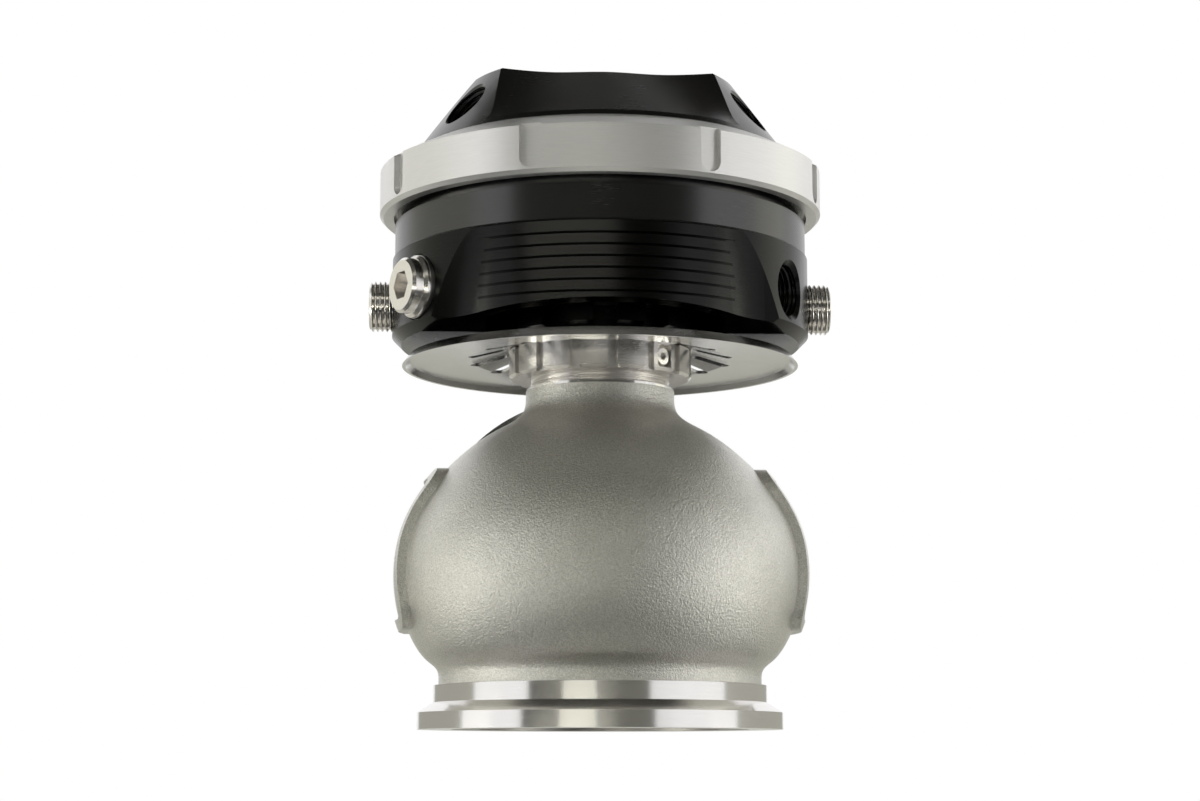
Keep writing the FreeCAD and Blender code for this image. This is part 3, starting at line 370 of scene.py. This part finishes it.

# %% [markdown]
# ## Black anodising
# Anodised aluminium isn't paint: it is a dark, hard skin that still shows the tool marks, with
# soft, slightly metallic highlights. A black plastic look would be simpler but too flat, so this is
# a fully metallic surface with a very dark tone. The grooves of the front panel are darker still,
# which is painted shade in the recesses. They are found from height, pitch and depth, since they
# are part of the housing's one mesh.

# %% Black anodising
PANEL_BOTTOM_R = 45.0 * MM
PANEL_TOP_R = 48.6 * MM
PANEL_BOTTOM = 91.9 * MM
PANEL_TOP = 109.6 * MM
GROOVES_BOTTOM = 94.0 * MM
GROOVES_TOP = 107.3 * MM
GROOVE_PITCH = 2.5 * MM
GROOVE_SHARE = 0.23
GROOVE_MARGIN = 0.05 * MM
# Painted shade: the tone that the panel's grooves take.
GROOVE_SHADE_TONE = 0.01
BLACK_TONES = 0.016, 0.026
RING_TONES = 0.076, 0.102
BLACK_MARK_SCALE = 6000.0
BLACK_MARK_ROUGHNESS = 0.05
BLACK_MARK_STRENGTH = 0.3
BLACK_ROUGHNESS = 0.19
CLOUD_SCALE = 70.0
CLOUD_ROUGHNESS = 0.08


def groove_shade_mask(x, y, z):
    """1 in the grooves of the front panel, which take a painted shade, 0 elsewhere."""
    radius = (x * x + y * y).math("SQRT")
    rise = (z - PANEL_BOTTOM) / (PANEL_TOP - PANEL_BOTTOM)
    panel = rise * (PANEL_TOP_R - PANEL_BOTTOM_R) + PANEL_BOTTOM_R
    phase = ((GROOVES_TOP - z) / GROOVE_PITCH).math("FRACT")
    inside = (radius < panel - GROOVE_MARGIN) * (phase < GROOVE_SHARE)
    return (inside * (z > GROOVES_BOTTOM) * (z < GROOVES_TOP)).clamp()


def anodised_black():
    """Near black below, a lighter black on the ring and the cap above the panel."""
    shader = Shader("black_anodising", Metallic=1.0)
    x, y, z = shader.split(shader.place())
    lines = shader.tool_marks(MARK_STRETCH, BLACK_MARK_SCALE)
    cloud = shader.noise(shader.place(), CLOUD_SCALE, detail=3.0)
    ring = (z > PANEL_TOP).clamp()
    dark, light = [shader.mix(ring, grey(low), grey(high))
                   for low, high in zip(BLACK_TONES, RING_TONES)]
    colour = shader.mix(lines, dark, light)
    # The grooves get a painted shade, darker than the black around them.
    colour = shader.mix(groove_shade_mask(x, y, z), colour, grey(GROOVE_SHADE_TONE))
    rough = cloud * CLOUD_ROUGHNESS + lines * BLACK_MARK_ROUGHNESS + BLACK_ROUGHNESS
    return shader.feed(Base_Color=colour, Roughness=rough,
                       Normal=shader.bump(lines, MARK_DEPTH, BLACK_MARK_STRENGTH))


black = anodised_black()
wear("lower_housing", black)
wear("top_cap", black)
print("housing and cap blackened")

# %% [markdown]
# ## Rubber
# The diaphragm and the stem's seal are moulded rubber: black, dull and faintly grained. They sit
# inside, so a plain dark surface with a fine bump is enough.

# %% Rubber
RUBBER_TONES = 0.015, 0.03
RUBBER_ROUGHNESS = 0.7
RUBBER_SCALE = 3000.0
RUBBER_RELIEF = 0.05 * MM
RUBBER_STRENGTH = 0.4


def rubber():
    """Dull black with a fine grain."""
    shader = Shader("black_rubber", Roughness=RUBBER_ROUGHNESS)
    grain = shader.noise(shader.place(), RUBBER_SCALE)
    dark, light = [grey(level) for level in RUBBER_TONES]
    return shader.feed(Base_Color=shader.mix(grain, dark, light),
                       Normal=shader.bump(grain, RUBBER_RELIEF, RUBBER_STRENGTH))


black_rubber = rubber()
wear("diaphragm", black_rubber)
wear("stem_seal", black_rubber)
print("diaphragm and seal dressed")

# %% [markdown]
# ## Floor
# The camera is lower than the floor's top, so it looks at the object through the floor. Leaving the
# floor out would lose the light that it throws up, so it stays for that, and it is clear to rays
# from below. In a view from above, its far parts get little light and would look dark against the
# white world, so it also glows a little for the camera. They still come out light grey.

# %% Floor
FLOOR_HOLE = 41.0 * MM
FLOOR_SIZE = 3.0
FLOOR_DROP = 0.3 * MM
FLOOR_SIDES = 96
FLOOR_TONE = 0.8
FLOOR_ROUGHNESS = 0.9
FLOOR_GLOW = 0.5


def finished_mesh(name, form):
    """Turn a form that was built up by faces into a mesh."""
    mesh = bpy.data.meshes.new(name)
    form.to_mesh(mesh)
    form.free()
    return mesh


def floor_mesh():
    """A flat ring, with a hole that the inlet flange covers."""
    form = bmesh.new()
    ring = []
    for side in range(FLOOR_SIDES):
        turn = side * math.tau / FLOOR_SIDES
        spot = [form.verts.new((reach * math.cos(turn), reach * math.sin(turn), 0))
                for reach in (FLOOR_HOLE, FLOOR_SIZE)]
        ring.append(spot)
    for first, second in zip(ring, ring[1:] + ring[:1]):
        form.faces.new((first[0], first[1], second[1], second[0]))
    return finished_mesh("floor", form)


def floor_material():
    """Pale from above, clear from below."""
    shader = Shader("floor_white", Base_Color=grey(FLOOR_TONE), Roughness=FLOOR_ROUGHNESS,
                    Emission_Strength=1.0)
    seen = shader.node("ShaderNodeLightPath", {}, {}, "Is Camera Ray")
    shader.feed(Emission_Color=shader.mix(seen, grey(0.0), grey(FLOOR_GLOW)))
    backfacing = shader.node("ShaderNodeNewGeometry", {}, {}, "Backfacing")
    clear = shader.node("ShaderNodeBsdfTransparent", {}, {})
    solid = Wire(shader, shader.principled.outputs[0])
    surface = shader.node("ShaderNodeMixShader", {}, {0: backfacing, 1: solid, 2: clear})
    shader.plug(shader.tree.nodes["Material Output"].inputs["Surface"], surface)
    return shader.material


floor = add_object("floor", floor_mesh())
floor.data.materials.append(floor_material())
floor.location.z = -FLOOR_DROP
floor.visible_glossy = False
print("floor laid")

# %% [markdown]
# ## World
# The photograph's ground is pure white, but a white room all round would light the object far too
# evenly. So the world is white where the camera or a reflection looks at it, and dim where it only
# lights.

# %% World
WORLD_FILL = 0.14


def build_world():
    """White to look at, dim as a lamp."""
    world = bpy.data.worlds.new("world")
    world.use_nodes = True
    bpy.context.scene.world = world
    graph = Graph(world.node_tree)
    seen, through, glossy = [graph.node("ShaderNodeLightPath", {}, {}, ray) for ray in
                             ("Is Camera Ray", "Is Transmission Ray", "Is Glossy Ray")]
    white = seen.math("MAXIMUM", through).math("MAXIMUM", glossy)
    strength = graph.node("ShaderNodeMapRange", {}, {"Value": white, "To Min": WORLD_FILL,
                                                     "To Max": 1.0})
    background = graph.tree.nodes["Background"]
    graph.plug(background.inputs["Color"], (1, 1, 1, 1))
    graph.plug(background.inputs["Strength"], strength)


build_world()
print("world white, with a fill of", WORLD_FILL)

# %% [markdown]
# ## Threads
# The CAD has plain cylinders at the size of the thread crests. A thread could be cut by sweeping a
# profile along a helix, which is slow and often leaves bad ends. Here it is a radius that depends
# on both the height and the angle, so one grid of points makes any of them, outside or inside.

# %% Thread meshes
SHARP_DEGREES = 50


def wound_skin(form, heights, radius, columns):
    """Rows of points at a radius that depends on height and turn."""
    rows = []
    for height in heights:
        row = []
        for column in range(columns):
            share = column / columns
            reach = radius(height, share)
            turn = share * math.tau
            row.append(form.verts.new((reach * math.cos(turn), reach * math.sin(turn), height)))
        rows.append(row)
    return rows


def wound_tube(name, start, end, outer, inner, step, columns):
    """A closed tube along Z whose outer and inner radii are functions of height and turn."""
    rows = max(2, round((end - start) / step) + 1)
    heights = [start + (end - start) * row / (rows - 1) for row in range(rows)]
    form = bmesh.new()
    outside = wound_skin(form, heights, outer, columns)
    inside = wound_skin(form, heights, inner, columns)
    for column in range(columns):
        after = (column + 1) % columns
        for row in range(rows - 1):
            form.faces.new((outside[row][column], outside[row][after],
                            outside[row + 1][after], outside[row + 1][column]))
            form.faces.new((inside[row][after], inside[row][column],
                            inside[row + 1][column], inside[row + 1][after]))
        form.faces.new((outside[0][after], outside[0][column], inside[0][column],
                        inside[0][after]))
        form.faces.new((outside[-1][column], outside[-1][after], inside[-1][after],
                        inside[-1][column]))
    mesh = finished_mesh(name, form)
    mesh.shade_smooth()
    mesh.set_sharp_from_angle(angle=math.radians(SHARP_DEGREES))
    return add_object(name, mesh)


# %% [markdown]
# The stubs and the ports share one pitch, and the neck has its own. All have the same profile: it
# rises and falls in a straight line over each pitch, with the crest and the root cut off flat, as
# on a real thread.

# %% Thread profile and place
PITCH = 1.1 * MM
THREAD_DEPTH = 0.62 * MM
STEP = PITCH / 9
FLANK_STEEPNESS = 1.35
ROOT_CUT = 0.15


def ridge(height, share, pitch):
    """The thread's profile: 1 on the crest, 0 in the root."""
    phase = (height / pitch - share) % 1.0
    return min(1.0, max(0.0, abs(2 * phase - 1) * FLANK_STEEPNESS - ROOT_CUT))


def aim(made, origin, direction):
    """Stand a piece that was built along Z on a line."""
    turn = Vector(direction).to_track_quat("Z", "Y")
    made.matrix_world = Matrix.Translation(origin) @ turn.to_matrix().to_4x4()


def outward(clock):
    """Unit vector at an angle from the front (-Y) towards +X."""
    return Vector((math.sin(math.radians(clock)), -math.cos(math.radians(clock)), 0))


print("thread pitch", PITCH, "in steps of", round(STEP, 6))

# %% [markdown]
# The two stubs take the coolant hoses. They stand out of the housing at the sides, with a fine
# thread, a chamfered end and a through bore. A bump map would leave their outline straight, and the
# outline is what is seen, so real threads replace the plain CAD stubs and keep their size.

# %% Coolant stubs
STUB_R = 6.0 * MM
STUB_SHANK_R = 5.4 * MM
STUB_BORE = 3.3 * MM
STUB_Z = 99.0 * MM
STUB_INNER = 44.1 * MM
HOUSING_R = 49.1 * MM
STUB_CHAMFER = 0.7 * MM
STUB_SIDES = 72


def coolant_stub(name, node, clock):
    """A threaded stub that takes the place of its CAD node."""
    low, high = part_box(node)
    stub_end = max(abs(low.x), abs(high.x))

    def outer(height, share):
        if height < HOUSING_R:
            return STUB_SHANK_R
        reach = STUB_R - THREAD_DEPTH * (1 - ridge(height, share, PITCH))
        return min(reach, STUB_R - STUB_CHAMFER + (stub_end - height))

    stub = wound_tube(name, STUB_INNER, stub_end, outer, lambda height, share: STUB_BORE, STEP,
                      STUB_SIDES)
    aim(stub, (0, 0, STUB_Z), outward(clock))
    stub.data.materials.append(nickel)
    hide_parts(node)
    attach(stub, "actuator")


coolant_stub("coolant_stub_left", "coolant_fitting_left", -90)
coolant_stub("coolant_stub_right", "coolant_fitting_right", 90)
print("stubs threaded")

# %% [markdown]
# Inside the open ports the thread is a thin lining on the bored wall. Cutting it into the housing
# would change a CAD mesh, so it is a piece of its own. It starts below the mouth's chamfer and is
# as black as the housing.

# %% Port threads
LINING_R = 5.88 * MM
LINING_WALL = 0.02 * MM
LINING_SIDES = 56
PORT_THREAD_DEPTH = 0.5 * MM
PORT_LEAD = 0.8 * MM


def port_thread(name, origin, direction, start, end):
    """The internal thread of one port."""
    def inner(height, share):
        lead = min(1.0, max(0.0, (end - height) / PORT_LEAD))
        return LINING_R - LINING_WALL - PORT_THREAD_DEPTH * ridge(height, share, PITCH) * lead

    lining = wound_tube(name, start, end, lambda height, share: LINING_R, inner, STEP,
                        LINING_SIDES)
    aim(lining, origin, direction)
    lining.data.materials.append(black)
    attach(lining, "actuator")


PORT_CLOCK = 60.0
PORT_THREAD_START = 41.9 * MM
PORT_THREAD_END = 47.6 * MM
port_thread("open_port_thread", (0, 0, STUB_Z), outward(PORT_CLOCK), PORT_THREAD_START,
            PORT_THREAD_END)
print("open port threaded")

# %% [markdown]
# The cap's three ports stand a third of a turn apart, square to its sloping faces. They differ by
# that turn alone, so a loop places their threads instead of three sets of numbers. Each is measured
# inwards from the middle of the port's mouth.

# %% Cap port threads
CAP_CLOCK = 2.7
CAP_PORT_FIRST = 60
CAP_PORT_APART = 120
CAP_PORT_MOUTH_R = 38.2 * MM
CAP_PORT_Z = 143.0 * MM
CAP_CONE_RISE = 16.8
CAP_CONE_RUN = 12.2
CAP_THREAD_START = -7.0 * MM
CAP_THREAD_END = -0.9 * MM

slope = math.atan2(CAP_CONE_RISE, CAP_CONE_RUN)
for number, name in enumerate(("cap_port_thread_right", "cap_port_thread_rear",
                               "cap_port_thread_left")):
    clock = CAP_CLOCK + CAP_PORT_FIRST + CAP_PORT_APART * number
    direction = outward(clock) * math.sin(slope) + Vector((0, 0, math.cos(slope)))
    mouth = outward(clock) * CAP_PORT_MOUTH_R + Vector((0, 0, CAP_PORT_Z))
    port_thread(name, mouth, direction, CAP_THREAD_START, CAP_THREAD_END)
print("cap ports threaded")

# %% [markdown]
# Below the lock nut a turn or two of the neck's thread shows. The rest is under the nut, so a thin
# wound ring on the neck is all that is needed.

# %% Neck thread
NECK_R = 15.9 * MM
NECK_THREAD_START = 79.5 * MM
NECK_THREAD_END = 81.6 * MM
NECK_PITCH = 1.0 * MM
NECK_STEP = NECK_PITCH / 8
NECK_ROOT_RISE = 0.05 * MM
NECK_THREAD_DEPTH = 0.4 * MM
NECK_OVERLAP = 0.2 * MM
NECK_SIDES = 96


def neck_thread():
    """The sliver of thread between the casting and its nut."""
    def outer(height, share):
        return NECK_R + NECK_ROOT_RISE + NECK_THREAD_DEPTH * ridge(height, share, NECK_PITCH)

    made = wound_tube("neck_thread", NECK_THREAD_START, NECK_THREAD_END, outer,
                      lambda height, share: NECK_R - NECK_OVERLAP, NECK_STEP, NECK_SIDES)
    made.data.materials.append(turned_steel)
    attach(made, "valve_body")


neck_thread()
print("neck thread wound")

# %% [markdown]
# ## Pieces that give
# The springs and the diaphragm stand between two bodies. Left rigid, they would run through their
# neighbours as the valve lifts. Their CAD meshes can't be changed, so a copy of each takes its
# place: the springs' copies ride with the actuator on meshes of their own, and the diaphragm's copy
# has its place baked into its mesh. Nothing here changes their shape.


def stand_in(node):
    """A copy of a CAD node that takes its place."""
    made = add_object(node + "_flexing", nodes[node].data.copy())
    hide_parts(node)
    return made


for node in ("spring_outer", "spring_inner"):
    spring = stand_in(node)
    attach(spring, "actuator")
    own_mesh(spring)
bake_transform(stand_in("diaphragm"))

# %% [markdown]
# ## What the metal reflects
# Shiny turned metal is a picture of the room: in the photograph the flanges show soft boxes at the
# sides, a narrow bright strip left of the camera and the dark room behind it. A picture of a studio
# could stand for that, but this script holds none, so curved cards do. They show in reflections
# only, so they hide nothing in any view and cast no shadow. Where no card stands, the metal mirrors
# the white world: the soft boxes at the sides of the flanges are such gaps.

# %% Reflection cards
CARD_RADIUS = 1.4
CARD_TINT = 1.01, 1.0, 0.88
DEGREES_A_FACE = 4
ROOF_REACH = 2.0


def reflect_only(name, mesh, level):
    """Put a glowing mesh into the scene that nothing but a reflection shows."""
    colour = tuple(level * part for part in CARD_TINT) + (1.0,)
    shader = Shader(name, Base_Color=grey(0.0), Roughness=1.0, Specular_IOR_Level=0.0,
                    Emission_Color=colour, Emission_Strength=1.0)
    mesh.materials.append(shader.material)
    made = add_object(name, mesh)
    made.visible_camera = False
    made.visible_diffuse = False
    made.visible_transmission = False
    made.visible_shadow = False


def card(name, start, end, low, high, level, reach=CARD_RADIUS):
    """A curved card between two angles from the front and two heights, as bright as its level."""
    columns = max(2, round((end - start) / DEGREES_A_FACE))
    form = bmesh.new()
    rings = []
    for column in range(columns + 1):
        way = outward(start + (end - start) * column / columns) * reach
        rings.append([form.verts.new((way.x, way.y, height)) for height in (low, high)])
    for first, second in zip(rings, rings[1:]):
        form.faces.new((first[0], second[0], second[1], first[1]))
    reflect_only(name, finished_mesh(name, form), level)


def roof(name, height, level, reach=ROOF_REACH):
    """A flat card above or below the object."""
    corners = [(x * reach, y * reach, height) for x, y in ((-1, -1), (1, -1), (1, 1), (-1, 1))]
    mesh = bpy.data.meshes.new(name)
    mesh.from_pydata(corners, [], [(0, 1, 2, 3)])
    reflect_only(name, mesh, level)


# %% [markdown]
# The dark front cards stand edge to edge between shared heights, in metres with the floor at 0. Two
# cards in one place would mix at random, so none overlaps another at the same radius, and a card
# that stands in front of another is a little nearer. Levels are brightness: 1 is about the white of
# the photograph's ground.

# %% Cards in front
CARD_TABLE = -0.92
CARD_SIDE = -0.45
CARD_FLOOR = -0.04
CARD_LOW_TOP = 0.14
CARD_ABOVE = 0.9
GLOW_RADIUS = 1.38

card("dark_front_left", -51, -27, CARD_SIDE, CARD_ABOVE, 0.10)
card("dark_facet_left", -60, -27, CARD_TABLE, CARD_SIDE, 0.03)
card("strip_front", -27, -5, CARD_FLOOR, CARD_LOW_TOP, 0.85)
card("dark_front", -27, -5, CARD_LOW_TOP, CARD_ABOVE, 0.06)
card("dark_front_low", -27, -5, CARD_TABLE, CARD_FLOOR, 0.06)
card("dim_front_right", -5, 31, CARD_FLOOR, CARD_LOW_TOP, 0.18)
card("dark_front_right", -5, 52, CARD_LOW_TOP, CARD_ABOVE, 0.06)
card("dark_front_right_low", -5, 42, CARD_SIDE, CARD_FLOOR, 0.06)
card("dark_facet_right", -5, 63, CARD_TABLE, CARD_SIDE, 0.03)
card("glow_front", -44, 6, -0.14, -0.08, 7.0, GLOW_RADIUS)
card("glow_above_front", -36, 26, 0.84, 1.14, 1.5, GLOW_RADIUS)
print("cards in front up")

# %% [markdown]
# The cards at the sides are mirrored by what faces outwards: the grey wall and the bright box by
# upright faces near the outline, the low ones by what also faces a little down, such as the lower
# flanks of the bulb.

# %% Cards at the sides
GLOW_FOOT = -0.5
GLOW_MIDDLE = -0.2
GLOW_TOP = -0.06

card("grey_side_left", -130, -75, 0.16, 0.6, 0.75)
card("glow_side_right", 92, 118, 0.2, 0.5, 1.5)
card("glow_left", -98, -72, GLOW_MIDDLE, GLOW_TOP, 8.0, GLOW_RADIUS)
card("glow_left_low", -102, -66, GLOW_FOOT, GLOW_MIDDLE, 1.5, GLOW_RADIUS)
card("glow_right", 68, 90, GLOW_MIDDLE, GLOW_TOP, 5.0, GLOW_RADIUS)
card("glow_right_low", 64, 96, GLOW_FOOT, GLOW_MIDDLE, 1.8, GLOW_RADIUS)
print("cards at the sides up")

# %% [markdown]
# Behind, above and below, the cards keep most of the white world out of the metal: grey behind the
# object and up at both sides, nearly black above it, and dark ground with one bright patch for what
# faces down.

# %% Cards behind, above and below
CARD_FOOT = -1.6
CARD_TABLE_FOOT = -1.15
CARD_TOP = 1.3
CARD_HIGH_BACK = 1.35
CARD_BACK_TOP = 1.65
CARD_HIGH = 3.2
GROUND_GAP = 0.1
BRIGHT_GROUND_REACH = 0.35

card("dark_under", -180, 180, CARD_FOOT, CARD_TABLE_FOOT, 0.08)
card("grey_back_left", -160, -96, CARD_FLOOR, CARD_LOW_TOP, 0.38)
card("grey_back_right", 90, 160, CARD_FLOOR, CARD_LOW_TOP, 0.40)
card("low_back", 100, 260, CARD_TABLE, CARD_FLOOR, 0.53)
card("dark_above", -62, 62, CARD_ABOVE, CARD_TOP, 0.08)
card("dark_high_front", -62, 62, CARD_TOP, CARD_BACK_TOP, 0.06)
card("grey_above_left", -130, -62, CARD_ABOVE, CARD_BACK_TOP, 0.45)
card("grey_above_right", 62, 130, CARD_ABOVE, CARD_BACK_TOP, 0.5)
card("dark_high_back", 152, 208, CARD_HIGH_BACK, CARD_BACK_TOP, 0.05)
card("dark_high", -180, 180, CARD_BACK_TOP, CARD_HIGH, 0.05)
roof("dark_roof", CARD_HIGH, 0.05)
roof("dark_ground", CARD_FOOT, 0.10)
roof("bright_ground", CARD_FOOT + GROUND_GAP, 1.4, BRIGHT_GROUND_REACH)
print("cards behind, above and below up")

# %% [markdown]
# ## Lamps
# Soft boxes at both sides, in front and above light what isn't mirror-like and draw the shadow. The
# cards could do that too, but small bright lamps give less noise. Reflections don't show them,
# since the cards already stand for what is mirrored.


# %% Lamps
LAMP_COLOUR = 1.0, 1.0, 0.94
LAMP_TARGET = 0, 0, 0.08


def soft_box(name, place, side, power):
    """A square area lamp that faces the middle of the object."""
    data = bpy.data.lights.new(name, "AREA")
    data.shape = "RECTANGLE"
    data.size = side
    data.size_y = side
    data.energy = power
    data.color = LAMP_COLOUR
    lamp = add_object(name, data)
    lamp.location = place
    facing = Vector(LAMP_TARGET) - Vector(place)
    lamp.rotation_euler = facing.to_track_quat("-Z", "Y").to_euler()
    lamp.visible_glossy = False


soft_box("left_box", (-0.9, -0.4, 0.06), 0.5, 11.0)
soft_box("right_box", (0.85, -0.55, 0.06), 0.5, 11.5)
soft_box("front_box", (-0.1, -1.1, -0.05), 0.3, 8.0)
soft_box("top_box", (0.0, -0.2, 1.1), 0.9, 1.5)
print("lamps lit")

# %% [markdown]
# ## Finish
# The standard view keeps the photograph's white ground white.

# %% Finish
scene = bpy.context.scene
scene.view_settings.view_transform = "Standard"
